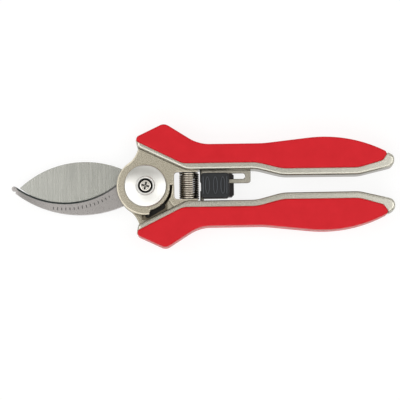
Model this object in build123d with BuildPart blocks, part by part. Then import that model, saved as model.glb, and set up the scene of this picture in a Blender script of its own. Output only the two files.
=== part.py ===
from build123d import *

import math
import os

# Compact bypass pruning shears, closed, lying on their back. Millimetres.
# Origin: the pivot's axis, on the plane the shears rest on. +Z is the pivot's axis,
# +X runs to the handles' tails, and +Y is the side of the upper handle.
# Each handle is the other's mirror image across the XZ plane, apart from its head
# plate: the upper handle's lies in front of the jaws, and the lower one's behind.

os.makedirs("parts", exist_ok=True)

# ---- levels through the thickness, as (back, front), from the resting plane at 0 ----
GRIP_LEVELS = {"front": (8.5, 15.0), "back": (0.0, 6.5)}
WEB = (6.5, 8.5)
RIM = (1.2, 13.8)
NUT = (0.0, 2.0)
REAR_WASHER = (2.0, 2.5)
BACK_PLATE = (2.5, 5.1)
BLADE = (5.1, 7.4)
HOOK = (7.46, 9.76)
FRONT_PLATE = (9.76, 12.4)
WASHER = (12.45, 12.75)
SHELF = (5.1, 9.4)
SHEET = (6.7, 8.3)
SPRING_Z = 7.5

# ---- fits and edge treatments ----
RUNNING_CLEARANCE = 0.05
PIN_CLEARANCE = 0.02
PLATE_BEVEL = 0.35
PANEL_SETBACK = 0.05
CORNER_ROUND = 1.5
RIM_ROUND = 1.2
GRIP_ROUND = 0.8
GROOVE_WIDTH = 0.35
GROOVE_DEPTH = 0.5

# ---- handles: corners (x, y, rounding radius) of the upper one ----
# the whole handle, from its head end round the palm side to the tail, and back along
# the side that faces the other handle
HANDLE = [
    (-4.3, 21.4, 0.5),
    (-3.2, 22.8, 1.6),
    (9.0, 28.6, 4.0),
    (24.5, 18.7, 18.0),
    (54.0, 18.7, 40.0),
    (92.7, 22.9, 62.0),
    (113.7, 12.4, 2.6),
    (113.7, 7.6, 3.2),
    (97.5, 3.8, 15.0),
    (62.5, 3.9, 20.0),
    (50.5, 7.05, 20.0),
    (18.7, 7.05, 10.0),
    (-3.4, 17.6, 1.2),
]
# the region the grip panels cover: its lower side is the line between grip and rim
GRIP_REGION = [
    (-10.2, 23.5, 0),
    (17.0, 9.95, 8.0),
    (51.0, 9.95, 20.0),
    (62.5, 6.95, 20.0),
    (97.5, 6.95, 15.0),
    (108.5, 10.1, 3.0),
    (112.4, 16.0, 0),
    (112.4, 40.0, 0),
    (-10.2, 40.0, 0),
]

# ---- head plates: a disc round the pivot, flared out to the handle's rim ----
HEAD_RADIUS = 13.1
WINDOW_X = HEAD_RADIUS
SEAT_Y = 6.2
FLARE_ARC = [(-9.3, 9.2), (-5.1, 13.0), (-3.0, 17.4)]
FLARE = [
    (-3.0, 17.4, 0),
    (-1.6, 17.6, 0),
    (18.0, 8.3, 0),
    (21.0, 8.3, 0),
    (21.0, SEAT_Y, 0),
    (WINDOW_X, SEAT_Y, 1.5),
    (WINDOW_X, 0, 0),
    (0, 0, 0),
    (-9.3, 9.2, 0),
]

# ---- stops: the front plate's step and ledge, the lower handle's boss and shelf ----
STEP_RADIUS = 11.2
LEDGE_Y = 0.4
STOP_GAP = 0.15
STEP_CUT = [
    (1.1, -14.0, 0),
    (2.3, -10.9, 0),
    (8.0, -7.8, 0),
    (STEP_RADIUS - 0.6, LEDGE_Y, 0),
    (14.0, LEDGE_Y, 0),
    (14.0, -14.0, 0),
]
STOP_BOSS = [
    (12.1, LEDGE_Y - STOP_GAP, 0),
    (11.9, -3.0, 0),
    (11.5, -4.7, 0),
    (10.6, -6.7, 0),
    (11.9, -8.6, 0),
    (13.4, -10.0, 0),
    (18.0, -8.3, 0),
    (21.0, -8.3, 0),
    (21.0, -SEAT_Y, 0),
    (WINDOW_X, -SEAT_Y, 1.5),
    (WINDOW_X, LEDGE_Y - STOP_GAP, 0),
]
BUFFER_SHELF = [
    (-0.3, -10.9, 0),
    (-0.9, -13.3, 1.0),
    (-1.6, -15.0, 0),
    (-1.6, -17.2, 0),
    (15.0, -9.6, 0),
    (14.0, -7.0, 0),
    (9.6, -5.2, 0),
    (2.0, -8.0, 0),
]
TANG_GAP = 0.4

# ---- rubber buffer in the shelf's pocket, ribbed across ----
BUFFER_ENDS = [(0.9, -13.2), (7.8, -9.2)]
BUFFER_WIDTH = 2.4
BUFFER_DEPTH = 1.4
BUFFER_BASE = 0.75
BUFFER_SIDE_GAP = 0.05
RIB_COUNT = 9
RIB_WIDTH = 0.45
RIB_HEIGHT = 0.35

# ---- jaws: a blade with a curved edge that passes behind a hook ----
TANG_RADIUS = 10.5
BLADE_TIP = (-57.5, 0.3)
SPINE_MIDDLE = (-27.9, 11.9)
SPINE_ROOT = (-8.6, 7.4)
BLADE_TANG = [(-3.0, 2.0), (-6.5, -4.0)]
EDGE_MIDDLE = (-36.0, -8.1)
EDGE_ROOT = (-11.0, -1.2)
BLADE_BEVEL = (1.9, 3.6)
HOOK_INNER_RADIUS = 38.0
HOOK_INNER_CENTRE = (-36.5, 31.25)
HOOK_INNER_X = (-59.2, -36.5, -10.5)
HOOK_TANG = [(-2.0, 5.0), (-5.0, -6.0)]
HOOK_OUTER_ROOT = (-10.0, -8.75)
HOOK_OUTER_MIDDLE = (-31.0, -12.62)
HOOK_OUTER_TIP = (-59.4, -2.35)
HOOK_BEVEL = 0.8
NIB_CENTRE = (-60.0, -0.2)
NIB_RADIUS = 1.15

# ---- pivot: shouldered bolt, rear washer and nut, friction washer, cover and screw ----
BOLT_RADIUS = 4.0
STUD_RADIUS = 2.5
REAR_WASHER_RADIUS = 6.2
NUT_FLATS = 9.0
NUT_BEVEL = 0.3
WASHER_INSET = 0.6
COVER_RADIUS = 9.6
COVER_SHOULDER = 2.6
COVER_BEVEL = 0.3
COVER_EDGE = 13.6
COVER_CROWN = 14.22
COVER_TOP = 14.6
COLLAR_RADIUS = 4.45
COLLAR_BEVEL = 0.35
COLLAR_TOP = 15.0
COUNTERBORE_RADIUS = 3.25
COUNTERBORE_BEVEL = 0.2
SCREW_RADIUS = 1.75
SCREW_HEAD_RADIUS = 2.65
SCREW_HEAD_ROUND = 0.5
SCREW_TIP = 6.0
SCREW_SEAT = 13.4
SCREW_TOP = 14.8
CROSS_LENGTH = 3.6
CROSS_WIDTH = 0.8
CROSS_ANGLE = -13
CROSS_DEPTH = 1.0

# ---- return spring, between blocks on the two handles, with a peg at each end ----
SPRING_X = 19.9
COIL_RADIUS = 4.18
WIRE_RADIUS = 0.42
SPRING_TURNS = 12
SPRING_END_GAP = 0.05
SEAT_BLOCK = (8.6, 1.8)
SEAT_BLOCK_SHIFT = 0.2
SEAT_BLOCK_LEVELS = (2.8, 12.2)
PEG_RADIUS = 3.2
PEG_LENGTH = 2.4
PEG_ROUND = 0.6
PEG_STEM_RADIUS = 2.0
PEG_STEM_LENGTH = 1.9
PEG_HOLE_DEPTH = 2.0

# ---- catch: slotted sheet on the upper handle, strike on the lower one ----
SHEET_X = (24.9, 48.1)
SHEET_LOW_Y = 1.1
SLOT_X = (26.0, 45.6)
SLOT_Y = (3.0, 5.6)
NECK_Y = 7.05
SHEET_TAB_X = (27.0, 46.0)
STRIKE_TAB_X = (24.7, 27.3)
TAB_DEPTH = 1.95
STRIKE_STEM_X = (24.9, 26.6)
STRIKE_ARM_X = 28.35
STRIKE_ARM_Y = (-3.65, -2.2)

# ---- catch buttons: a front and a back half, riveted through the slot ----
FRONT_BUTTON = (8.6, 14.95)
FRONT_BUTTON_X = (25.3, 38.2)
FRONT_BUTTON_Y = (-6.05, 5.45)
FRONT_BUTTON_CORNER = 1.5
FRONT_BUTTON_ROUND = 0.7
LOOP_X = (28.3, 31.9, 35.3)
LOOP_HEIGHT = 0.4
LOOP_HALF_LENGTH = 4.0
LOOP_HALF_WIDTH = 1.15
LOOP_WALL = 0.5
EDGE_RIDGE_INSET = 1.1
SPRING_RELIEF_X = 26.5
SPRING_RELIEF_Z = 10.5
BACK_BUTTON = (1.6, 6.4)
BACK_BUTTON_X = (27.5, 40.4)
BACK_BUTTON_Y = (-5.0, 5.95)
BACK_BUTTON_CORNER = 1.1
BACK_BUTTON_ROUND = 0.6
KEY_X = (28.3, 40.2)
KEY_Y = (3.15, 5.45)
CORE_X = (30.3, 39.0)
CORE_Y = (-5.0, 0.8)
TONGUE_X = (28.65, 30.65)
TONGUE_Y = (-5.25, -3.95)

# ---- dowels, fixing pins and the catch's rivet ----
DOWEL_RADIUS = 1.25
DOWEL_REACH = 1.6
DOWEL_END_GAP = 0.1
HOOK_DOWELS = [(2.5, 7.3), (7.3, 2.5)]
BLADE_DOWELS = [(2.5, -7.3), (7.3, -2.5)]
FIXING_PIN_RADIUS = 0.55
FIXING_PIN_LEVELS = (RIM[0], 10.5)
LATCH_PINS = [(30.0, 8.5), (43.0, 8.5)]
STRIKE_PIN = [(26.0, -8.5)]
RIVET_POINT = [(34.0, -2.0)]
RIVET_RADIUS = 1.0
RIVET_TIP = 12.5
RIVET_TIP_GAP = 0.1
RIVET_HEAD_RADIUS = 1.7
RIVET_HEAD_HEIGHT = 0.5
RIVET_HEAD_ROUND = 0.3


def span(limits):
    """Distance between a pair of limits."""
    return limits[1] - limits[0]


def middle(limits):
    """Middle of a pair of limits."""
    return sum(limits) / 2


def rounded_face(corners, side=1, mode=Mode.ADD):
    """Adds a face with rounded corners to the open sketch, mirrored when side is -1."""
    with BuildLine() as outline:
        FilletPolyline(
            *[(x, side * y) for x, y, _ in corners],
            radius=[r for _, _, r in corners],
            close=True,
        )
    make_face(outline.edges(), mode=mode)


def rectangle(x_limits, y_limits):
    """Adds a rectangle between two pairs of limits to the open sketch."""
    with Locations((middle(x_limits), middle(y_limits))):
        Rectangle(span(x_limits), span(y_limits))


def edges_at(level):
    """Edges of the open part that lie at one level."""
    return [e for e in edges() if abs(e.center().Z - level) < 1e-6]


def drill(points, radius, levels):
    """Cuts round holes at points of the open part, from one level to another."""
    with BuildSketch(Plane.XY.offset(levels[0])) as holes:
        with Locations(*points):
            Circle(radius)
    extrude(holes.sketch, amount=span(levels), mode=Mode.SUBTRACT)


def head_plate(side):
    """Adds a handle's head plate to the open sketch: a disc and a flare to the rim."""
    Circle(HEAD_RADIUS)
    with BuildLine() as flare:
        ThreePointArc(*[(x, side * y) for x, y in FLARE_ARC])
        FilletPolyline(
            *[(x, side * y) for x, y, _ in FLARE],
            radius=[r for _, _, r in FLARE[1:-1]],
        )
    make_face(flare.edges())


def add_rim_and_web(side):
    """Adds a handle's rounded rim and the thin web between its grips to the open part."""
    with BuildSketch(Plane.XY.offset(RIM[0])) as rim:
        rounded_face(HANDLE, side)
    extrude(rim.sketch, amount=span(RIM))
    fillet(edges_at(RIM[0]) + edges_at(RIM[1]), radius=RIM_ROUND)
    with BuildSketch(Plane.XY.offset(RIM[0])) as panels:
        rounded_face(GRIP_REGION, side)
    extrude(panels.sketch, amount=span(RIM), mode=Mode.SUBTRACT)
    with BuildSketch(Plane.XY.offset(WEB[0])) as web:
        rounded_face(HANDLE, side)
    extrude(web.sketch, amount=span(WEB))


def cut_groove(side, level):
    """Cuts a narrow groove at the rim's foot into what joins the rim at that level."""
    with BuildSketch(Plane.XY.offset(level - GROOVE_DEPTH)) as groove:
        rounded_face(HANDLE, side)
        offset(amount=GROOVE_WIDTH, mode=Mode.REPLACE)
        rounded_face(HANDLE, side, Mode.SUBTRACT)
    extrude(groove.sketch, amount=GROOVE_DEPTH, mode=Mode.SUBTRACT)


def add_spring_seat(side):
    """Adds the block that the return spring bears on, with the hole for its peg."""
    with BuildSketch(Plane.XY.offset(SEAT_BLOCK_LEVELS[0])) as seat:
        with Locations((SPRING_X - SEAT_BLOCK_SHIFT, side * (SEAT_Y + SEAT_BLOCK[1] / 2))):
            Rectangle(*SEAT_BLOCK)
    extrude(seat.sketch, amount=span(SEAT_BLOCK_LEVELS))
    hole_plane = Plane((SPRING_X, side * SEAT_Y, SPRING_Z), z_dir=(0, side, 0))
    with BuildSketch(hole_plane) as peg_hole:
        Circle(PEG_STEM_RADIUS + PIN_CLEARANCE)
    extrude(peg_hole.sketch, amount=PEG_HOLE_DEPTH, mode=Mode.SUBTRACT)


def cut_tab_pocket(x_limits, side):
    """Cuts the pocket for a sheet's tab into the open part's rim."""
    with BuildSketch(Plane.XY.offset(SHEET[0] - PIN_CLEARANCE)) as pocket:
        with Locations((middle(x_limits), side * (NECK_Y + TAB_DEPTH / 2))):
            Rectangle(span(x_limits) + 2 * PIN_CLEARANCE, TAB_DEPTH + 2 * PIN_CLEARANCE)
    extrude(pocket.sketch, amount=span(SHEET) + 2 * PIN_CLEARANCE, mode=Mode.SUBTRACT)


def on_inner_arc(x):
    """Point of the hook's inner edge at x."""
    drop = math.sqrt(HOOK_INNER_RADIUS**2 - (x - HOOK_INNER_CENTRE[0]) ** 2)
    return (x, HOOK_INNER_CENTRE[1] - drop)


# ---- upper handle frame: head plate in front, with the opening step and the ledge ----
with BuildPart() as upper_handle_frame:
    with BuildSketch(Plane.XY.offset(FRONT_PLATE[0])):
        head_plate(1)
        rounded_face(STEP_CUT, mode=Mode.SUBTRACT)
        Circle(STEP_RADIUS)
    extrude(amount=span(FRONT_PLATE))
    chamfer(edges_at(FRONT_PLATE[1]), length=PLATE_BEVEL)
    add_rim_and_web(1)
    add_spring_seat(1)
    cut_groove(1, FRONT_PLATE[1])
    cut_tab_pocket(SHEET_TAB_X, 1)
    drill([(0, 0)], BOLT_RADIUS + RUNNING_CLEARANCE, FRONT_PLATE)
    drill(HOOK_DOWELS, DOWEL_RADIUS + PIN_CLEARANCE, (FRONT_PLATE[0], FRONT_PLATE[0] + DOWEL_REACH))
    drill(LATCH_PINS, FIXING_PIN_RADIUS + PIN_CLEARANCE, FIXING_PIN_LEVELS)
upper_handle_frame.part.label = "upper_handle_frame"
export_step(upper_handle_frame.part, "parts/upper_handle_frame.step")

# ---- lower handle frame: head plate behind, stop boss and buffer shelf in front ----
with BuildPart() as lower_handle_frame:
    with BuildSketch(Plane.XY.offset(BACK_PLATE[0])):
        head_plate(-1)
    extrude(amount=span(BACK_PLATE))
    with BuildSketch(Plane.XY.offset(FRONT_PLATE[0])):
        rounded_face(STOP_BOSS)
    extrude(amount=span(FRONT_PLATE))
    chamfer(edges_at(FRONT_PLATE[1]), length=PLATE_BEVEL)
    with BuildSketch(Plane.XY.offset(SHELF[0])):
        rounded_face(BUFFER_SHELF)
        Circle(TANG_RADIUS + TANG_GAP, mode=Mode.SUBTRACT)
    extrude(amount=span(SHELF))
    add_rim_and_web(-1)
    add_spring_seat(-1)
    cut_groove(-1, FRONT_PLATE[1])
    cut_groove(-1, SHELF[1])
    cut_tab_pocket(STRIKE_TAB_X, -1)
    with BuildSketch(Plane.XY.offset(SHELF[1] - BUFFER_DEPTH)):
        with BuildLine():
            pocket_line = Line(*BUFFER_ENDS)
        SlotArc(pocket_line, BUFFER_WIDTH + 2 * BUFFER_SIDE_GAP)
    extrude(amount=BUFFER_DEPTH, mode=Mode.SUBTRACT)
    drill([(0, 0)], BOLT_RADIUS + PIN_CLEARANCE, BACK_PLATE)
    drill(BLADE_DOWELS, DOWEL_RADIUS + PIN_CLEARANCE, (BACK_PLATE[1] - DOWEL_REACH, BACK_PLATE[1]))
    drill(STRIKE_PIN, FIXING_PIN_RADIUS + PIN_CLEARANCE, FIXING_PIN_LEVELS)
lower_handle_frame.part.label = "lower_handle_frame"
export_step(lower_handle_frame.part, "parts/lower_handle_frame.step")

# ---- grips: a front and a back panel on each handle's web ----
for handle, side in (("upper", 1), ("lower", -1)):
    for face, levels in GRIP_LEVELS.items():
        with BuildPart() as grip:
            with BuildSketch(Plane.XY.offset(levels[0])):
                rounded_face(HANDLE, side)
                rounded_face(GRIP_REGION, side, Mode.INTERSECT)
                offset(amount=-PANEL_SETBACK - CORNER_ROUND, mode=Mode.REPLACE)
                offset(amount=CORNER_ROUND, mode=Mode.REPLACE)
            extrude(amount=span(levels))
            outer_level = levels[1] if face == "front" else levels[0]
            fillet(edges_at(outer_level), GRIP_ROUND)
        grip.part.label = f"{handle}_{face}_grip"
        export_step(grip.part, f"parts/{grip.part.label}.step")

# ---- jaws ----
with BuildPart() as cutting_blade:
    with BuildSketch(Plane.XY.offset(BLADE[0])):
        with BuildLine():
            ThreePointArc(BLADE_TIP, SPINE_MIDDLE, SPINE_ROOT)
            Polyline(SPINE_ROOT, *BLADE_TANG, EDGE_ROOT)
            ThreePointArc(EDGE_ROOT, EDGE_MIDDLE, BLADE_TIP)
        make_face()
    extrude(amount=span(BLADE))
    back_arcs = cutting_blade.edges().filter_by(GeomType.CIRCLE).group_by(Axis.Z)[0]
    chamfer(back_arcs.sort_by(Axis.Y)[0], *BLADE_BEVEL)
    with BuildSketch(Plane.XY.offset(BLADE[0])):
        Circle(TANG_RADIUS)
    extrude(amount=span(BLADE))
    drill([(0, 0)], BOLT_RADIUS + PIN_CLEARANCE, BLADE)
    drill(BLADE_DOWELS, DOWEL_RADIUS + PIN_CLEARANCE, BLADE)
cutting_blade.part.label = "cutting_blade"
export_step(cutting_blade.part, "parts/cutting_blade.step")

with BuildPart() as hook_blade:
    with BuildSketch(Plane.XY.offset(HOOK[0])):
        with BuildLine():
            inner = ThreePointArc(*[on_inner_arc(x) for x in HOOK_INNER_X])
            Polyline(inner @ 1, *HOOK_TANG, HOOK_OUTER_ROOT)
            ThreePointArc(HOOK_OUTER_ROOT, HOOK_OUTER_MIDDLE, HOOK_OUTER_TIP)
            Line(HOOK_OUTER_TIP, inner @ 0)
        make_face()
        with Locations(NIB_CENTRE):
            Circle(NIB_RADIUS)
    extrude(amount=span(HOOK))
    front_arcs = hook_blade.edges().filter_by(GeomType.CIRCLE).group_by(Axis.Z)[-1]
    inner_edge = front_arcs.filter_by(lambda e: abs(e.radius - HOOK_INNER_RADIUS) < 0.1)
    chamfer(inner_edge, length=HOOK_BEVEL)
    with BuildSketch(Plane.XY.offset(HOOK[0])):
        Circle(TANG_RADIUS)
    extrude(amount=span(HOOK))
    drill([(0, 0)], BOLT_RADIUS + RUNNING_CLEARANCE, HOOK)
    drill(HOOK_DOWELS, DOWEL_RADIUS + PIN_CLEARANCE, HOOK)
hook_blade.part.label = "hook_blade"
export_step(hook_blade.part, "parts/hook_blade.step")

# ---- dowels and fixing pins: groups of identical plain pins ----
HOOK_DOWEL_LEVELS = (HOOK[0] + DOWEL_END_GAP, FRONT_PLATE[0] + DOWEL_REACH - DOWEL_END_GAP)
BLADE_DOWEL_LEVELS = (BACK_PLATE[1] - DOWEL_REACH + DOWEL_END_GAP, BLADE[1] - DOWEL_END_GAP)
PIN_GROUPS = {
    "hook_dowels": (HOOK_DOWELS, DOWEL_RADIUS, HOOK_DOWEL_LEVELS),
    "blade_dowels": (BLADE_DOWELS, DOWEL_RADIUS, BLADE_DOWEL_LEVELS),
    "latch_pins": (LATCH_PINS, FIXING_PIN_RADIUS, FIXING_PIN_LEVELS),
    "strike_pin": (STRIKE_PIN, FIXING_PIN_RADIUS, FIXING_PIN_LEVELS),
}

for name, (points, radius, levels) in PIN_GROUPS.items():
    with BuildPart() as pins:
        with BuildSketch(Plane.XY.offset(levels[0])):
            with Locations(*points):
                Circle(radius)
        extrude(amount=span(levels))
    pins.part.label = name
    export_step(pins.part, f"parts/{name}.step")

# ---- pivot ----
with BuildPart() as pivot_bolt:
    with BuildSketch(Plane.XY.offset(BACK_PLATE[0])):
        Circle(BOLT_RADIUS)
    extrude(amount=WASHER[1] - BACK_PLATE[0])
    with BuildSketch(Plane.XY.offset(NUT[0])):
        Circle(STUD_RADIUS)
    extrude(amount=BACK_PLATE[0] - NUT[0])
    drill([(0, 0)], SCREW_RADIUS + PIN_CLEARANCE, (SCREW_TIP - 0.5, WASHER[1]))
pivot_bolt.part.label = "pivot_bolt"
export_step(pivot_bolt.part, "parts/pivot_bolt.step")

with BuildPart() as rear_washer:
    with BuildSketch(Plane.XY.offset(REAR_WASHER[0])):
        Circle(REAR_WASHER_RADIUS)
        Circle(STUD_RADIUS + PIN_CLEARANCE, mode=Mode.SUBTRACT)
    extrude(amount=span(REAR_WASHER))
rear_washer.part.label = "rear_washer"
export_step(rear_washer.part, "parts/rear_washer.step")

with BuildPart() as pivot_nut:
    with BuildSketch(Plane.XY.offset(NUT[0])):
        RegularPolygon(NUT_FLATS / 2, 6, major_radius=False)
        Circle(STUD_RADIUS + PIN_CLEARANCE, mode=Mode.SUBTRACT)
    extrude(amount=span(NUT))
    chamfer(pivot_nut.edges().group_by(Axis.Z)[0].filter_by(GeomType.LINE), NUT_BEVEL)
pivot_nut.part.label = "pivot_nut"
export_step(pivot_nut.part, "parts/pivot_nut.step")

with BuildPart() as friction_washer:
    with BuildSketch(Plane.XY.offset(WASHER[0])):
        Circle(COVER_RADIUS - WASHER_INSET)
        Circle(BOLT_RADIUS + PIN_CLEARANCE, mode=Mode.SUBTRACT)
    extrude(amount=span(WASHER))
friction_washer.part.label = "friction_washer"
export_step(friction_washer.part, "parts/friction_washer.step")

with BuildPart() as pivot_cover:
    with BuildSketch(Plane.XZ):
        with BuildLine():
            Polyline(
                (SCREW_RADIUS + PIN_CLEARANCE, WASHER[1]),
                (COVER_RADIUS, WASHER[1]),
                (COVER_RADIUS, COVER_EDGE - COVER_BEVEL),
                (COVER_RADIUS - COVER_BEVEL, COVER_EDGE),
            )
            ThreePointArc(
                (COVER_RADIUS - COVER_BEVEL, COVER_EDGE),
                (COVER_RADIUS - COVER_SHOULDER, COVER_CROWN),
                (COLLAR_RADIUS, COVER_TOP),
            )
            Polyline(
                (COLLAR_RADIUS, COVER_TOP),
                (COLLAR_RADIUS - COLLAR_BEVEL, COLLAR_TOP),
                (COUNTERBORE_RADIUS + COUNTERBORE_BEVEL, COLLAR_TOP),
                (COUNTERBORE_RADIUS, COLLAR_TOP - COUNTERBORE_BEVEL),
                (COUNTERBORE_RADIUS, SCREW_SEAT),
                (SCREW_RADIUS + PIN_CLEARANCE, SCREW_SEAT),
                (SCREW_RADIUS + PIN_CLEARANCE, WASHER[1]),
            )
        make_face()
    revolve(axis=Axis.Z)
pivot_cover.part.label = "pivot_cover"
export_step(pivot_cover.part, "parts/pivot_cover.step")

with BuildPart() as pivot_screw:
    with BuildSketch(Plane.XY.offset(SCREW_TIP)):
        Circle(SCREW_RADIUS)
    extrude(amount=SCREW_SEAT - SCREW_TIP)
    with BuildSketch(Plane.XY.offset(SCREW_SEAT)):
        Circle(SCREW_HEAD_RADIUS)
    extrude(amount=SCREW_TOP - SCREW_SEAT)
    fillet(edges_at(SCREW_TOP), SCREW_HEAD_ROUND)
    with BuildSketch(Plane.XY.offset(SCREW_TOP)):
        for quarter in (0, 90):
            Rectangle(CROSS_LENGTH, CROSS_WIDTH, rotation=CROSS_ANGLE + quarter)
    extrude(amount=-CROSS_DEPTH, mode=Mode.SUBTRACT)
pivot_screw.part.label = "pivot_screw"
export_step(pivot_screw.part, "parts/pivot_screw.step")

# ---- rubber buffer ----
buffer_run = Vector(*BUFFER_ENDS[1]) - Vector(*BUFFER_ENDS[0])
buffer_angle = math.degrees(math.atan2(buffer_run.Y, buffer_run.X))
with BuildPart() as stop_buffer:
    with BuildSketch(Plane.XY.offset(SHELF[1] - BUFFER_DEPTH)):
        with BuildLine():
            buffer_line = Line(*BUFFER_ENDS)
        SlotArc(buffer_line, BUFFER_WIDTH)
    extrude(amount=BUFFER_BASE)
    rib_points = [buffer_line @ ((n + 0.5) / RIB_COUNT) for n in range(RIB_COUNT)]
    with BuildSketch(Plane.XY.offset(SHELF[1] - BUFFER_DEPTH + BUFFER_BASE)):
        with Locations(*[(p.X, p.Y) for p in rib_points]):
            Rectangle(RIB_WIDTH, BUFFER_WIDTH, rotation=buffer_angle)
    extrude(amount=RIB_HEIGHT)
stop_buffer.part.label = "stop_buffer"
export_step(stop_buffer.part, "parts/stop_buffer.step")

# ---- return spring and the pegs that locate its ends ----
coil_height = 2 * (SEAT_Y - WIRE_RADIUS - SPRING_END_GAP)
with BuildPart() as return_spring:
    with BuildLine():
        coil = Helix(
            pitch=coil_height / SPRING_TURNS,
            height=coil_height,
            radius=COIL_RADIUS,
            center=(SPRING_X, -coil_height / 2, SPRING_Z),
            direction=(0, 1, 0),
        )
    with BuildSketch(Plane(coil @ 0, z_dir=coil % 0)):
        Circle(WIRE_RADIUS)
    sweep(is_frenet=True)
return_spring.part.label = "return_spring"
export_step(return_spring.part, "parts/return_spring.step")

for handle, side in (("upper", 1), ("lower", -1)):
    peg_plane = Plane((SPRING_X, side * SEAT_Y, SPRING_Z), z_dir=(0, side, 0))
    with BuildPart() as spring_peg:
        with BuildSketch(peg_plane):
            Circle(PEG_RADIUS)
        extrude(amount=-PEG_LENGTH)
        fillet(spring_peg.edges().sort_by(Axis.Y, reverse=side < 0)[0], PEG_ROUND)
        with BuildSketch(peg_plane):
            Circle(PEG_STEM_RADIUS)
        extrude(amount=PEG_STEM_LENGTH)
    spring_peg.part.label = f"{handle}_spring_peg"
    export_step(spring_peg.part, f"parts/{spring_peg.part.label}.step")

# ---- catch ----
with BuildPart() as latch_plate:
    with BuildSketch(Plane.XY.offset(SHEET[0])):
        rounded_face(
            [
                (SHEET_X[0], NECK_Y, 0),
                (SHEET_X[0], SHEET_LOW_Y, 1.2),
                (SHEET_X[1], SHEET_LOW_Y, 1.4),
                (SHEET_X[1], NECK_Y, 0),
                (SHEET_TAB_X[1], NECK_Y, 0),
                (SHEET_TAB_X[1], NECK_Y + TAB_DEPTH, 0),
                (SHEET_TAB_X[0], NECK_Y + TAB_DEPTH, 0),
                (SHEET_TAB_X[0], NECK_Y, 0),
            ]
        )
        with Locations((middle(SLOT_X), middle(SLOT_Y))):
            SlotOverall(span(SLOT_X), span(SLOT_Y), mode=Mode.SUBTRACT)
    extrude(amount=span(SHEET))
    drill(LATCH_PINS, FIXING_PIN_RADIUS + PIN_CLEARANCE, SHEET)
latch_plate.part.label = "latch_plate"
export_step(latch_plate.part, "parts/latch_plate.step")

with BuildPart() as strike_hook:
    with BuildSketch(Plane.XY.offset(SHEET[0])):
        rounded_face(
            [
                (STRIKE_TAB_X[0], -NECK_Y - TAB_DEPTH, 0),
                (STRIKE_TAB_X[1], -NECK_Y - TAB_DEPTH, 0),
                (STRIKE_TAB_X[1], -NECK_Y, 0),
                (STRIKE_STEM_X[1], -NECK_Y, 0),
                (STRIKE_STEM_X[1], STRIKE_ARM_Y[0], 0),
                (STRIKE_ARM_X, STRIKE_ARM_Y[0], 0),
                (STRIKE_ARM_X, STRIKE_ARM_Y[1], 0.7),
                (STRIKE_STEM_X[0], STRIKE_ARM_Y[1], 0.5),
                (STRIKE_STEM_X[0], -NECK_Y, 0),
                (STRIKE_TAB_X[0], -NECK_Y, 0),
            ]
        )
    extrude(amount=span(SHEET))
    drill(STRIKE_PIN, FIXING_PIN_RADIUS + PIN_CLEARANCE, SHEET)
strike_hook.part.label = "strike_hook"
export_step(strike_hook.part, "parts/strike_hook.step")

with BuildPart() as catch_front_button:
    with BuildSketch(Plane.XY.offset(FRONT_BUTTON[0])):
        with Locations((middle(FRONT_BUTTON_X), middle(FRONT_BUTTON_Y))):
            RectangleRounded(span(FRONT_BUTTON_X), span(FRONT_BUTTON_Y), FRONT_BUTTON_CORNER)
    extrude(amount=span(FRONT_BUTTON))
    fillet(edges_at(FRONT_BUTTON[1]), FRONT_BUTTON_ROUND)
    with BuildSketch(Plane.XY.offset(FRONT_BUTTON[1])):
        with Locations(*[(x, middle(FRONT_BUTTON_Y)) for x in LOOP_X]):
            Ellipse(LOOP_HALF_WIDTH, LOOP_HALF_LENGTH)
            Ellipse(
                LOOP_HALF_WIDTH - LOOP_WALL, LOOP_HALF_LENGTH - LOOP_WALL, mode=Mode.SUBTRACT
            )
        ridge_x = (FRONT_BUTTON_X[0] + EDGE_RIDGE_INSET, FRONT_BUTTON_X[1] - EDGE_RIDGE_INSET)
        with Locations(*[(x, middle(FRONT_BUTTON_Y)) for x in ridge_x]):
            SlotOverall(2 * LOOP_HALF_LENGTH, LOOP_WALL, rotation=90)
    extrude(amount=LOOP_HEIGHT)
    with BuildSketch(Plane.XY.offset(FRONT_BUTTON[0])):
        rectangle((FRONT_BUTTON_X[0] - 1.0, SPRING_RELIEF_X), FRONT_BUTTON_Y)
    extrude(amount=SPRING_RELIEF_Z - FRONT_BUTTON[0], mode=Mode.SUBTRACT)
    drill(RIVET_POINT, RIVET_RADIUS + PIN_CLEARANCE, (FRONT_BUTTON[0], RIVET_TIP + RIVET_TIP_GAP))
catch_front_button.part.label = "catch_front_button"
export_step(catch_front_button.part, "parts/catch_front_button.step")

with BuildPart() as catch_back_button:
    with BuildSketch(Plane.XY.offset(BACK_BUTTON[0])):
        with Locations((middle(BACK_BUTTON_X), middle(BACK_BUTTON_Y))):
            body = Rectangle(span(BACK_BUTTON_X), span(BACK_BUTTON_Y))
        chamfer(body.vertices(), BACK_BUTTON_CORNER)
    extrude(amount=span(BACK_BUTTON))
    fillet(edges_at(BACK_BUTTON[0]), BACK_BUTTON_ROUND)
    with BuildSketch(Plane.XY.offset(BACK_BUTTON[1])):
        with Locations((middle(KEY_X), middle(KEY_Y))):
            SlotOverall(span(KEY_X), span(KEY_Y))
        rectangle(CORE_X, CORE_Y)
        rectangle(TONGUE_X, TONGUE_Y)
    extrude(amount=FRONT_BUTTON[0] - BACK_BUTTON[1])
    drill(RIVET_POINT, RIVET_RADIUS + PIN_CLEARANCE, (BACK_BUTTON[0], FRONT_BUTTON[0]))
catch_back_button.part.label = "catch_back_button"
export_step(catch_back_button.part, "parts/catch_back_button.step")

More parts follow.
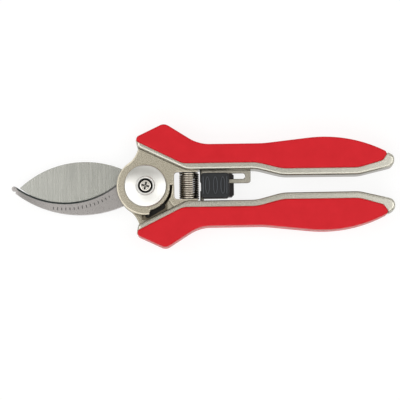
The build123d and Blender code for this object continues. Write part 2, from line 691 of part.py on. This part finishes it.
with BuildPart() as catch_rivet:
    with BuildSketch(Plane.XY.offset(BACK_BUTTON[0])):
        with Locations(*RIVET_POINT):
            Circle(RIVET_RADIUS)
    extrude(amount=RIVET_TIP - BACK_BUTTON[0])
    with BuildSketch(Plane.XY.offset(BACK_BUTTON[0])):
        with Locations(*RIVET_POINT):
            Circle(RIVET_HEAD_RADIUS)
    extrude(amount=-RIVET_HEAD_HEIGHT)
    fillet(edges_at(BACK_BUTTON[0] - RIVET_HEAD_HEIGHT), RIVET_HEAD_ROUND)
catch_rivet.part.label = "catch_rivet"
export_step(catch_rivet.part, "parts/catch_rivet.step")
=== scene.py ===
import math

import bmesh
import bpy
from mathutils import Matrix, Vector
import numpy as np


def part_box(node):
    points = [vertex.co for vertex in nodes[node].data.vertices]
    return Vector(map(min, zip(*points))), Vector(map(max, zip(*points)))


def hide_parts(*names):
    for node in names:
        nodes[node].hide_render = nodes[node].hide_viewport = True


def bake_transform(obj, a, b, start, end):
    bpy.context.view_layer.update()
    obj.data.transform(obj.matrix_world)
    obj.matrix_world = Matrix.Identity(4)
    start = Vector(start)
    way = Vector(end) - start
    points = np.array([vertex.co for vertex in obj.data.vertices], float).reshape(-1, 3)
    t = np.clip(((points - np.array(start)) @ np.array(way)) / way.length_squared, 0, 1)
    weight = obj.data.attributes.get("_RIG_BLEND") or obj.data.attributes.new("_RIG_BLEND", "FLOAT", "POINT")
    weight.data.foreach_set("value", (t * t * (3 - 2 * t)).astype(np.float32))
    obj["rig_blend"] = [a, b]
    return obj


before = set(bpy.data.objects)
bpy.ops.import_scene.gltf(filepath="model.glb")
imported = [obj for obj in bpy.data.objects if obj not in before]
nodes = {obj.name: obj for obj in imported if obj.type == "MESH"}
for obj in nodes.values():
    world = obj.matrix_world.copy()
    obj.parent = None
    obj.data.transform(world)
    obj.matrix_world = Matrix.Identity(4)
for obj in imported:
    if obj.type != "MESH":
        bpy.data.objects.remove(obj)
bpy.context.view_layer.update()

# Pruning shears on a pale table top. Metres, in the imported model's frame:
# the origin is the pivot's axis on the table, +X runs to the tails, +Z is up.

MM = 0.001

# ---- the view: straight down, leaning a little to -Y, with a long lens ----
VIEW_WIDTH = 182 * MM
VIEW_CENTRE = Vector((24.8, -7.0, 15.0)) * MM
VIEW_TILT = math.radians(5)
VIEW_ROLL = math.radians(0.85)
VIEW_DISTANCE = 1.5
SENSOR = 36

# ---- the studio: table, room by height of the view direction, softboxes ----
TABLE_SIZE = 3.0
TABLE_GAP = 0.02 * MM
TABLE_ALBEDO = 0.20
TABLE_GLOW = 0.84
ROOM = [
    (0.09, (0.52, 0.515, 0.50)),
    (0.20, (0.06, 0.055, 0.045)),
    (0.72, (0.30, 0.29, 0.265)),
    (0.97, (0.36, 0.35, 0.32)),
]
# name, direction from the shears, distance, size, radiance
SOFTBOXES = [
    ("key", (-0.12, -0.72, 1.0), 0.9, (1.3, 0.66), 1.35),
    ("fill", (0.25, 1.0, 0.9), 1.0, (1.1, 0.4), 0.8),
    ("left", (-0.66, 0.05, 1.0), 1.0, (0.45, 0.9), 1.9),
    ("right", (0.66, 0.05, 1.0), 1.0, (0.45, 0.9), 1.9),
]

# ---- places that the finishes single out: millimetres, in the frame's X, Y and Z ----
# A centre is a point in X and Y. Any other pair is a stretch's two limits, or where a mark
# begins and where it is full.

# The frames' middle plane, and how far from it their rims begin.
MIDDLE_Z = 7.5
RIM_FROM_MIDDLE = (5.0, 5.3)

# The bevel of the front head plate, where a highlight is painted: round its disc, then along its flare.
HEAD_EDGE_RADII = (12.60, 13.4)
HEAD_EDGE_X = (6.0, 3.0)
HEAD_EDGE_Y = (9.3, 9.0)
HEAD_EDGE_Z = (11.6, 12.0)
FLARE_CENTRE = (-16.12, 20.96)
FLARE_RADII = (13.30, 14.10)
FLARE_X = (-1.6, -2.0)
FLARE_Y = (9.2, 16.4)

# The gap beside the closing stop, and the shelf under the buffer, where shade is painted.
STOP_GAP_RADII = (10.6, 12.2)
STOP_GAP_X = (5.0, 6.5)
STOP_GAP_Z = (2.9, 12.2)
SHELF_X = (-1.6, 9.6)
SHELF_Y = (-15.2, -5.0)
SHELF_Z = (2.9, 13.1)

# The hook's front: its inner bevel and its end, where shade is painted, and its row of ticks, about one
# centre.
HOOK_CENTRE = (-36.5, 31.25)
HOOK_FRONT_Z = (8.7, 8.9)
HOOK_BEVEL_RADII = (38.95, 38.75)
HOOK_BEVEL_FADE_X = (-12.0, -30.0)
HOOK_BEVEL_END_X = (-59.3, -58.3)
HOOK_SHADE_X = (-42.0, -54.0)
HOOK_SHADE_END_X = (-59.0, -57.0)
TICK_ROW_RADIUS = 41.0
TICK_RADII = (40.4, 41.6)
TICK_X = (-42.4, -16.5)
TICK_HALF_PITCH = 0.95
TICK_HALF_WIDTH = (0.24, 0.16)

# The latch plate's end, where shade is painted, the pivot cover's bore, painted black as shade, and the
# catch's raised loops, painted paler as a highlight.
SHEET_SHADE_X = (26.2, 25.2)
COVER_BORE = 3.3
RAISED_LOOP_Z = (14.95, 15.15)

# ---- levels that the finishes share: where each begins, and where it is full ----
# Edge bands, for wear, painted highlights and painted shade, by the cosine between an edge's rounded normal
# and its flat one.
NARROW_EDGE = (0.995, 0.85)
WIDE_EDGE = (0.9995, 0.97)
# Painted shade in gaps, by how open the surface is.
GAP_SHADE = (0.70, 0.25)
# Nearly all of a noise lies between these.
NOISE_SPAN = (0.3, 0.7)


def new_object(name, data):
    """Links a new object to the scene."""
    made = bpy.data.objects.new(name, data)
    bpy.context.scene.collection.objects.link(made)
    return made


# ---------------------------------------------------------------- camera and light
def add_camera():
    """The camera, turned by VIEW_TILT about X and rolled by VIEW_ROLL."""
    back = Vector((0, -math.sin(VIEW_TILT), math.cos(VIEW_TILT)))
    level_up = Vector((0, math.cos(VIEW_TILT), math.sin(VIEW_TILT)))
    east = Vector((1, 0, 0))
    right = east * math.cos(VIEW_ROLL) - level_up * math.sin(VIEW_ROLL)
    up = east * math.sin(VIEW_ROLL) + level_up * math.cos(VIEW_ROLL)
    data = bpy.data.cameras.new("camera")
    data.sensor_width = SENSOR
    data.lens = SENSOR * VIEW_DISTANCE / VIEW_WIDTH
    data.clip_end = 10
    camera = new_object("camera", data)
    turn = Matrix((right, up, back)).transposed().to_4x4()
    camera.matrix_world = Matrix.Translation(VIEW_CENTRE + back * VIEW_DISTANCE) @ turn
    bpy.context.scene.camera = camera


def add_softbox(name, direction, distance, size, radiance):
    """A rectangular softbox that faces the shears from a direction."""
    data = bpy.data.lights.new(name, "AREA")
    data.shape = "RECTANGLE"
    data.size, data.size_y = size
    data.energy = radiance * math.pi * size[0] * size[1]
    lamp = new_object(name, data)
    aim = Vector(direction).normalized()
    lamp.rotation_euler = aim.to_track_quat("Z", "Y").to_euler()
    lamp.location = VIEW_CENTRE + aim * distance


def add_studio():
    """A white table top, a grey room that is darkest a little over its horizon, and softboxes."""
    world = bpy.data.worlds.new("room")
    bpy.context.scene.world = world
    world.use_nodes = True
    tree = world.node_tree
    background = tree.nodes["Background"]
    direction = tree.nodes.new("ShaderNodeTexCoord").outputs["Generated"]
    split = tree.nodes.new("ShaderNodeSeparateXYZ")
    tree.links.new(direction, split.inputs["Vector"])
    shade = tree.nodes.new("ShaderNodeValToRGB")
    tree.links.new(split.outputs["Z"], shade.inputs["Fac"])
    # A ramp starts with two stops, and new ones are put in order before any is set.
    for height, _ in ROOM[2:]:
        shade.color_ramp.elements.new(height)
    for stop, (height, colour) in zip(shade.color_ramp.elements, ROOM):
        stop.position, stop.color = height, (*colour, 1)
    tree.links.new(shade.outputs["Color"], background.inputs["Color"])
    for softbox in SOFTBOXES:
        add_softbox(*softbox)

    size = TABLE_SIZE / 2
    mesh = bpy.data.meshes.new("table_top")
    corners = [(-size, -size), (size, -size), (size, size), (-size, size)]
    mesh.from_pydata([(x, y, -TABLE_GAP) for x, y in corners], [], [(0, 1, 2, 3)])
    table = new_object("table_top", mesh)
    finish = Finish("table_paper")
    finish.set("Base Color", (TABLE_ALBEDO, TABLE_ALBEDO, TABLE_ALBEDO, 1))
    finish.set("Roughness", 0.9)
    finish.set("Specular IOR Level", 0.1)
    finish.set("Emission Color", (1, 1, 1, 1))
    finish.set("Emission Strength", TABLE_GLOW)
    mesh.materials.append(finish.material)
    bpy.context.scene.view_settings.view_transform = "Standard"


# ---------------------------------------------------------------- material helper
class Finish:
    """A node material on a Principled shader, worked out from the surface point."""

    def __init__(self, name):
        self.material = bpy.data.materials.new(name)
        self.material.use_nodes = True
        self.tree = self.material.node_tree
        self.shader = self.tree.nodes["Principled BSDF"]
        self.place = None
        self.normal = None

    def set(self, socket, value):
        """Sets a socket of the shader to one value."""
        self.shader.inputs[socket].default_value = value

    def link(self, output, target):
        """Links an output to a socket of the shader, by name, or to any input."""
        if isinstance(target, str):
            target = self.shader.inputs[target]
        self.tree.links.new(output, target)

    def node(self, kind, **settings):
        """Adds a node and sets its properties."""
        made = self.tree.nodes.new("ShaderNode" + kind)
        for key, value in settings.items():
            setattr(made, key, value)
        return made

    def where(self):
        """The surface point in metres."""
        if self.place is None:
            self.place = self.node("TexCoord").outputs["Object"]
        return self.place

    def stretched(self, scale):
        """The surface point scaled along each axis."""
        sized = self.node("Mapping", vector_type="POINT")
        sized.inputs["Scale"].default_value = scale
        self.link(self.where(), sized.inputs["Vector"])
        return sized.outputs["Vector"]

    def along(self, axis):
        """The surface point's coordinate on one axis, in millimetres."""
        split = self.node("SeparateXYZ")
        self.link(self.where(), split.inputs["Vector"])
        return self.math("DIVIDE", split.outputs[axis], MM)

    def radius(self, x, y):
        """The distance in millimetres from the upright line through (x, y)."""
        east = self.math("SUBTRACT", self.along("X"), x)
        north = self.math("SUBTRACT", self.along("Y"), y)
        squares = self.math("ADD", self.math("MULTIPLY", east, east),
                            self.math("MULTIPLY", north, north))
        return self.math("SQRT", squares)

    def blend(self, first, share, second):
        """A weighted mean of two values, where share is the first one's weight."""
        rest = self.math("MULTIPLY", second, 1.0 - share)
        return self.math("ADD", self.math("MULTIPLY", first, share), rest)

    def between(self, value, low, high, fade=0.1):
        """A mask of the values between two limits."""
        rise = self.ramp(value, low - fade, low)
        fall = self.ramp(value, high, high + fade, 1.0, 0.0)
        return self.math("MULTIPLY", rise, fall)

    def all_of(self, *masks):
        """The product of several masks."""
        product = masks[0]
        for mask in masks[1:]:
            product = self.math("MULTIPLY", product, mask)
        return product

    def noise(self, scale, detail, roughness, vector=None):
        """Noise from 0 to 1. The scale is in features per metre."""
        made = self.node("TexNoise")
        made.inputs["Scale"].default_value = scale
        made.inputs["Detail"].default_value = detail
        made.inputs["Roughness"].default_value = roughness
        self.link(vector or self.where(), made.inputs["Vector"])
        return made.outputs["Fac"]

    def math(self, operation, a, b=0.0, clamp=False):
        """A math node on sockets or numbers."""
        made = self.node("Math", operation=operation, use_clamp=clamp)
        for socket, value in zip(made.inputs, (a, b)):
            if isinstance(value, (int, float)):
                socket.default_value = value
            else:
                self.link(value, socket)
        return made.outputs[0]

    def ramp(self, value, low, high, to_low=0.0, to_high=1.0):
        """Maps a value from one range to another, clamped."""
        made = self.node("MapRange", clamp=True)
        for name, number in (
            ("From Min", low), ("From Max", high), ("To Min", to_low), ("To Max", to_high),
        ):
            made.inputs[name].default_value = number
        self.link(value, made.inputs["Value"])
        return made.outputs["Result"]

    def mix(self, factor, a, b):
        """A colour between a and b, each a colour or a socket."""
        made = self.node("Mix", data_type="RGBA")
        self.link(factor, made.inputs["Factor"])
        sockets = [s for s in made.inputs if s.type == "RGBA"]
        for socket, value in zip(sockets, (a, b)):
            if isinstance(value, (tuple, list)):
                socket.default_value = (*value, 1)
            else:
                self.link(value, socket)
        return [s for s in made.outputs if s.type == "RGBA"][0]

    def soften(self, radius, band_levels=NARROW_EDGE):
        """Rounds the edges' shading by a radius, and returns a mask of those edges."""
        rounded = self.node("Bevel", samples=4)
        rounded.inputs["Radius"].default_value = radius
        flat = self.node("NewGeometry").outputs["Normal"]
        dot = self.node("VectorMath", operation="DOT_PRODUCT")
        self.link(rounded.outputs["Normal"], dot.inputs[0])
        self.link(flat, dot.inputs[1])
        self.normal = rounded.outputs["Normal"]
        return self.ramp(dot.outputs["Value"], *band_levels)

    def painted_shade(self, reach, shade_levels=GAP_SHADE):
        """A mask of gaps and inner corners, closer than reach to other surfaces, for painted shade."""
        shade = self.node("AmbientOcclusion", samples=8)
        shade.inputs["Distance"].default_value = reach
        return self.ramp(shade.outputs["AO"], *shade_levels)

    def facing(self):
        """How squarely the surface faces the front or the back, from 0 to 1."""
        split = self.node("SeparateXYZ")
        turned = self.node("VectorTransform", vector_type="NORMAL",
                           convert_from="WORLD", convert_to="OBJECT")
        self.link(self.node("NewGeometry").outputs["Normal"], turned.inputs["Vector"])
        self.link(turned.outputs["Vector"], split.inputs["Vector"])
        return self.math("ABSOLUTE", split.outputs["Z"])

    def roughen(self, noise, low, high):
        """Varies the roughness between two values by a noise."""
        self.link(self.ramp(noise, *NOISE_SPAN, low, high), "Roughness")

    def bump(self, height, depth, strength):
        """Adds a bump of that depth in metres, over the bumps so far."""
        made = self.node("Bump")
        made.inputs["Distance"].default_value = depth
        made.inputs["Strength"].default_value = strength
        self.link(height, made.inputs["Height"])
        if self.normal is not None:
            self.link(self.normal, made.inputs["Normal"])
        self.normal = made.outputs["Normal"]
        self.link(self.normal, "Normal")


def dress(node, finish):
    """Gives a CAD node its finish."""
    target = nodes[node]
    for slot in target.material_slots:
        slot.material = finish.material
    for polygon in target.data.polygons:
        polygon.material_index = 0


# ---------------------------------------------------------------- finishes
def times(colour, factor):
    """A colour made brighter or darker, no channel over 1."""
    return [min(1.0, channel * factor) for channel in colour]


def satin_metal(name, colour, dark, roughness, grain=(2600, 2600, 2600), edge=0.12 * MM,
                edge_tone=None, painted_edge_highlight=0.0, depth=0.0006 * MM, rim_tone=None,
                painted_wall_shade=None, outline=None, marks_and_shade=None):
    """Satin metal: fine directional grain, slow clouding, edges painted paler as wear and highlight, painted
    shade in gaps.

    grain is the features of the grain per metre along X, Y and Z, and depth its depth
    in metres.
    edge is the radius in metres over which edges are rounded, edge_tone their colour,
    and painted_edge_highlight how much less metallic, and so paler, they are: a painted highlight.
    rim_tone is the (dark, light) colours of the rims that stand out of the plates,
    and painted_wall_shade the colour of surfaces that face sideways, a painted shade.
    outline is a function of the finish that gives a mask of more edges with a painted highlight.
    marks_and_shade is a function of the finish that gives (mask, colour) pairs: marks, and painted shade.
    """
    finish = Finish(name)
    edge_band = finish.soften(edge, WIDE_EDGE if painted_edge_highlight or edge_tone else NARROW_EDGE)
    if outline is not None:
        edge_band = finish.math("MAXIMUM", edge_band, outline(finish))
    lines = finish.noise(1.0, 4.0, 0.6, finish.stretched(grain))
    tone = finish.ramp(finish.blend(lines, 0.75, finish.noise(90, 4.0, 0.6)), 0.38, 0.62)
    base = finish.mix(tone, dark, colour)
    if rim_tone is not None:
        height = finish.math("SUBTRACT", finish.along("Z"), MIDDLE_Z)
        rim = finish.ramp(finish.math("ABSOLUTE", height), *RIM_FROM_MIDDLE)
        base = finish.mix(rim, base, finish.mix(tone, *rim_tone))
    # Surfaces that face sideways get a painted shade.
    if painted_wall_shade is not None:
        upright = finish.ramp(finish.facing(), 0.55, 0.15)
        base = finish.mix(upright, base, painted_wall_shade)
    # Gaps and inner corners get a painted shade.
    base = finish.mix(finish.painted_shade(1.2 * MM), base, times(dark, 0.18))
    # Edges take edge_tone, the latch sheets' dark painted shade, or else a paler colour that is both wear
    # and a painted highlight.
    base = finish.mix(edge_band, base, edge_tone or times(colour, 1.5))
    for mask, overlay_colour in marks_and_shade(finish) if marks_and_shade else ():
        base = finish.mix(mask, base, overlay_colour)
    finish.link(base, "Base Color")
    # Less metallic edges look paler still: a painted highlight.
    if painted_edge_highlight:
        finish.link(finish.ramp(edge_band, 0.0, 1.0, 1.0, 1.0 - painted_edge_highlight), "Metallic")
    else:
        finish.set("Metallic", 1.0)
    finish.roughen(lines, roughness - 0.015, roughness + 0.02)
    finish.bump(lines, depth, 0.7)
    return finish


def head_edge_highlight(finish):
    """The bevel round the front head plate, painted as a highlight: its disc and its flare."""
    x, y, z = (finish.along(axis) for axis in "XYZ")
    disc = finish.all_of(
        finish.between(finish.radius(0, 0), *HEAD_EDGE_RADII),
        finish.ramp(x, *HEAD_EDGE_X),
        finish.ramp(y, *HEAD_EDGE_Y),
    )
    flare = finish.all_of(
        finish.between(finish.radius(*FLARE_CENTRE), *FLARE_RADII),
        finish.between(y, *FLARE_Y),
        finish.ramp(x, *FLARE_X),
    )
    edges = finish.math("ADD", disc, flare, clamp=True)
    return finish.math("MULTIPLY", finish.ramp(z, *HEAD_EDGE_Z), edges)


def lower_frame_shade(finish):
    """Painted shade in the gap beside the closing stop and on the shelf under the buffer."""
    x, y, z = (finish.along(axis) for axis in "XYZ")
    gap = finish.all_of(
        finish.between(finish.radius(0, 0), *STOP_GAP_RADII),
        finish.between(z, *STOP_GAP_Z, fade=0.3),
        finish.ramp(x, *STOP_GAP_X),
    )
    shelf = finish.all_of(
        finish.between(z, *SHELF_Z, fade=0.2),
        finish.between(x, *SHELF_X, fade=0.8),
        finish.between(y, *SHELF_Y, fade=0.5),
    )
    return ((shelf, (0.17, 0.145, 0.105)), (gap, (0.012, 0.011, 0.009)))


def hook_shade_and_ticks(finish):
    """The hook's front: painted shade on its inner bevel and towards its tip end, and a row of etched ticks.
    """
    x, y, z = (finish.along(axis) for axis in "XYZ")
    r = finish.radius(*HOOK_CENTRE)
    front = finish.ramp(z, *HOOK_FRONT_Z)
    bevel = finish.all_of(
        front,
        finish.ramp(r, *HOOK_BEVEL_RADII),
        finish.ramp(x, *HOOK_BEVEL_FADE_X, 0.55, 1.0),
        finish.ramp(x, *HOOK_BEVEL_END_X),
    )
    angle = finish.math("ARCTAN2", finish.math("SUBTRACT", x, HOOK_CENTRE[0]),
                        finish.math("SUBTRACT", HOOK_CENTRE[1], y))
    arc = finish.math("MULTIPLY", angle, TICK_ROW_RADIUS)
    ticks = finish.all_of(
        front,
        finish.ramp(finish.math("PINGPONG", arc, TICK_HALF_PITCH), *TICK_HALF_WIDTH),
        finish.between(r, *TICK_RADII, fade=0.08),
        finish.between(x, *TICK_X),
    )
    shade = finish.all_of(finish.ramp(x, *HOOK_SHADE_X), finish.ramp(x, *HOOK_SHADE_END_X))
    # The bevel's dark band and the darker end are painted shade; the ticks are etched marks.
    return (
        (finish.math("MULTIPLY", shade, 0.55), (0.20, 0.195, 0.19)),
        (bevel, (0.055, 0.068, 0.066)),
        (ticks, (0.09, 0.088, 0.088)),
    )


def sheet_end_shade(finish):
    """Painted shade on the latch plate's end beside the spring."""
    return ((finish.ramp(finish.along("X"), *SHEET_SHADE_X), (0.02, 0.018, 0.014)),)


def grip_plastic():
    """Dipped matte red: fine orange peel, slight mottling and scuffed edges."""
    finish = Finish("grip_red")
    edge_band = finish.soften(0.5 * MM)
    mottle = finish.ramp(finish.noise(130, 5.0, 0.6), *NOISE_SPAN)
    base = finish.mix(mottle, (0.650, 0.0070, 0.0155), (0.705, 0.0100, 0.0200))
    base = finish.mix(finish.math("MULTIPLY", edge_band, 0.35), base, (0.80, 0.040, 0.048))
    finish.link(base, "Base Color")
    peel = finish.noise(2100, 2.0, 0.5)
    fine = finish.noise(9000, 2.0, 0.5)
    scuff = finish.ramp(finish.noise(320, 6.0, 0.7), 0.55, 0.75)
    rough = finish.math("ADD", finish.math("MULTIPLY", scuff, 0.10), 0.46)
    finish.link(rough, "Roughness")
    finish.set("Specular IOR Level", 0.22)
    finish.bump(peel, 0.010 * MM, 0.6)
    finish.bump(fine, 0.003 * MM, 0.5)
    return finish


def dark_plastic(name, low, high, roughness, ridge=None):
    """Moulded dark plastic or rubber with a spark-eroded grain.

    The ridge is the levels in millimetres between which raised marks are painted paler, as a highlight, and
    their hollows get a painted shade.
    """
    finish = Finish(name)
    edge_band = finish.soften(0.15 * MM)
    mottle = finish.ramp(finish.noise(400, 4.0, 0.6), *NOISE_SPAN)
    base = finish.mix(mottle, low, high)
    # Edges painted paler, as wear and as a highlight.
    base = finish.mix(finish.math("MULTIPLY", edge_band, 0.4), base, times(high, 2.2))
    # Raised loops painted paler, as a highlight.
    if ridge is not None:
        raised = finish.ramp(finish.along("Z"), *ridge)
        base = finish.mix(raised, base, times(high, 2.6))
        # Hollows between the loops get a painted shade.
        base = finish.mix(finish.painted_shade(0.9 * MM), base, times(low, 0.2))
    finish.link(base, "Base Color")
    grain = finish.noise(5200, 3.0, 0.6)
    finish.roughen(grain, roughness - 0.06, roughness + 0.08)
    finish.set("Specular IOR Level", 0.3)
    finish.bump(grain, 0.006 * MM, 0.8)
    return finish


def turned_metal(name, colour, dark, roughness, pitch, bore=None, shade_levels=GAP_SHADE):
    """Metal turned on a lathe: fine rings about the pivot's axis, about a pitch apart.

    Nearer the axis than bore, in millimetres, it is painted black, as shade in the bore.
    """
    finish = Finish(name)
    finish.set("Metallic", 1.0)
    edge_band = finish.soften(0.1 * MM)
    r = finish.radius(0, 0)
    rings = finish.node("CombineXYZ")
    finish.link(finish.math("MULTIPLY", r, MM / pitch), rings.inputs["X"])
    lines = finish.noise(1.0, 3.0, 0.6, rings.outputs["Vector"])
    cloud = finish.noise(160, 4.0, 0.6)
    tone = finish.ramp(finish.blend(lines, 0.5, cloud), 0.36, 0.62)
    base = finish.mix(tone, dark, colour)
    # Edges painted paler, as wear and as a highlight.
    base = finish.mix(edge_band, base, times(colour, 1.2))
    # Gaps get a painted shade.
    base = finish.mix(finish.painted_shade(1.0 * MM, shade_levels), base, times(dark, 0.06))
    # The bore is painted black as shade.
    if bore is not None:
        base = finish.mix(finish.ramp(r, bore + 0.15, bore), base, times(dark, 0.03))
    finish.link(base, "Base Color")
    finish.roughen(lines, roughness - 0.05, roughness + 0.05)
    finish.bump(lines, 0.002 * MM, 0.6)
    return finish


def paint_cad_nodes():
    """Gives every CAD node that stays its finish."""
    # The frames' plating: edges painted paler as a highlight, sideways surfaces darker as painted shade.
    plated = dict(colour=(0.60, 0.555, 0.45), dark=(0.55, 0.505, 0.41), roughness=0.27,
                  grain=(5200, 5200, 5200), edge=0.55 * MM, painted_edge_highlight=0.85,
                  rim_tone=((0.575, 0.56, 0.495), (0.62, 0.605, 0.535)),
                  painted_wall_shade=(0.17, 0.15, 0.115))
    upper_frame = satin_metal("upper_frame_metal", outline=head_edge_highlight, **plated)
    lower_frame = satin_metal("lower_frame_metal", marks_and_shade=lower_frame_shade, **plated)
    grip = grip_plastic()
    blade = satin_metal("blade_steel", (0.55, 0.555, 0.52), (0.45, 0.458, 0.43), 0.26,
                        grain=(4300, 60, 200), edge=0.08 * MM)
    hook = satin_metal("hook_steel", (0.45, 0.43, 0.425), (0.41, 0.39, 0.385), 0.28,
                       grain=(2400, 2400, 2400), edge=0.30 * MM, painted_edge_highlight=0.6,
                       depth=0.0002 * MM, marks_and_shade=hook_shade_and_ticks)
    pins = satin_metal("pin_steel", (0.62, 0.60, 0.56), (0.5, 0.48, 0.45), 0.35)
    nut = satin_metal("nut_plated", (0.78, 0.76, 0.72), (0.62, 0.60, 0.56), 0.26)
    # The latch sheets: their edges, sideways surfaces and the end beside the spring get a painted shade.
    sheet = satin_metal("sheet_plated", (0.60, 0.57, 0.50), (0.50, 0.475, 0.415), 0.24,
                        grain=(300, 2400, 600), edge=0.55 * MM, edge_tone=(0.13, 0.115, 0.09),
                        painted_wall_shade=(0.16, 0.14, 0.11), marks_and_shade=sheet_end_shade)
    cover = turned_metal("cover_satin", (0.80, 0.795, 0.77), (0.755, 0.75, 0.725), 0.38,
                         0.09 * MM, bore=COVER_BORE)
    screw = turned_metal("screw_plated", (0.90, 0.87, 0.81), (0.82, 0.79, 0.73), 0.26, 0.12 * MM,
                         shade_levels=(0.94, 0.62))
    washer = dark_plastic("washer_plastic", (0.05, 0.045, 0.055), (0.08, 0.075, 0.09), 0.5)
    rubber = dark_plastic("buffer_rubber", (0.014, 0.012, 0.009), (0.022, 0.019, 0.015), 0.62)
    front = dark_plastic("catch_front_black", (0.016, 0.0175, 0.020), (0.024, 0.026, 0.030), 0.42,
                         ridge=RAISED_LOOP_Z)
    back = dark_plastic("catch_back_black", (0.022, 0.018, 0.020), (0.034, 0.028, 0.031), 0.45)
    looks = {
        "lower_handle_frame": lower_frame, "upper_handle_frame": upper_frame,
        "lower_front_grip": grip, "lower_back_grip": grip,
        "upper_front_grip": grip, "upper_back_grip": grip,
        "cutting_blade": blade, "hook_blade": hook,
        "blade_dowels": pins, "hook_dowels": pins, "latch_pins": pins, "strike_pin": pins,
        "pivot_bolt": nut, "rear_washer": nut, "pivot_nut": nut, "catch_rivet": nut,
        "friction_washer": washer, "pivot_cover": cover, "pivot_screw": screw,
        "stop_buffer": rubber, "lower_spring_peg": nut, "upper_spring_peg": nut,
        "strike_hook": sheet, "latch_plate": sheet,
        "catch_front_button": front, "catch_back_button": back,
    }
    for node, finish in looks.items():
        dress(node, finish)


# ---------------------------------------------------------------- return spring
SPRING_TURNS = 11.5
WIRE_RADIUS = 0.42 * MM
RING_SIDES = 12
RINGS_PER_TURN = 40


def add_spring():
    """An even coil of round wire, which opens and bends with the handles."""
    low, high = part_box("return_spring")
    centre = (low + high) / 2
    radius = (high.x - low.x) / 2 - WIRE_RADIUS
    half = (high.y - low.y) / 2 - WIRE_RADIUS
    count = int(SPRING_TURNS * RINGS_PER_TURN)
    mesh = bpy.data.meshes.new("return_coil")
    build = bmesh.new()
    shares, rings = [], []
    for n in range(count + 1):
        share = n / count
        angle = 2 * math.pi * SPRING_TURNS * share
        middle = centre + Vector((
            radius * math.cos(angle), half * (2 * share - 1), radius * math.sin(angle)))
        outward = Vector((math.cos(angle), 0, math.sin(angle)))
        along = Vector((0, 1, 0))
        ring = []
        for k in range(RING_SIDES):
            turn = 2 * math.pi * k / RING_SIDES
            ring.append(build.verts.new(
                middle + WIRE_RADIUS * (math.cos(turn) * outward + math.sin(turn) * along)))
        rings.append(ring)
        shares += [share] * RING_SIDES
    for first, second in zip(rings, rings[1:]):
        for k in range(RING_SIDES):
            j = (k + 1) % RING_SIDES
            build.faces.new((first[k], first[j], second[j], second[k]))
    build.faces.new(list(reversed(rings[0])))
    build.faces.new(rings[-1])
    bmesh.ops.recalc_face_normals(build, faces=build.faces)
    build.to_mesh(mesh)
    build.free()
    for polygon in mesh.polygons:
        polygon.use_smooth = len(polygon.vertices) == 4
    spring = new_object("return_coil", mesh)
    finish = satin_metal("spring_wire", (0.62, 0.57, 0.49), (0.50, 0.455, 0.39), 0.17,
                         grain=(1500, 1500, 1500), edge=0.05 * MM)
    mesh.materials.append(finish.material)
    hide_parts("return_spring")
    start = (centre.x, low.y, centre.z)
    end = (centre.x, high.y, centre.z)
    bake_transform(spring, "lower_handle", "upper_handle", start=start, end=end)
    # One share for each ring of the wire keeps the wire round when the spring opens.
    mesh.attributes["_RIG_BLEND"].data.foreach_set("value", shares)


add_camera()
add_studio()
paint_cad_nodes()
add_spring()
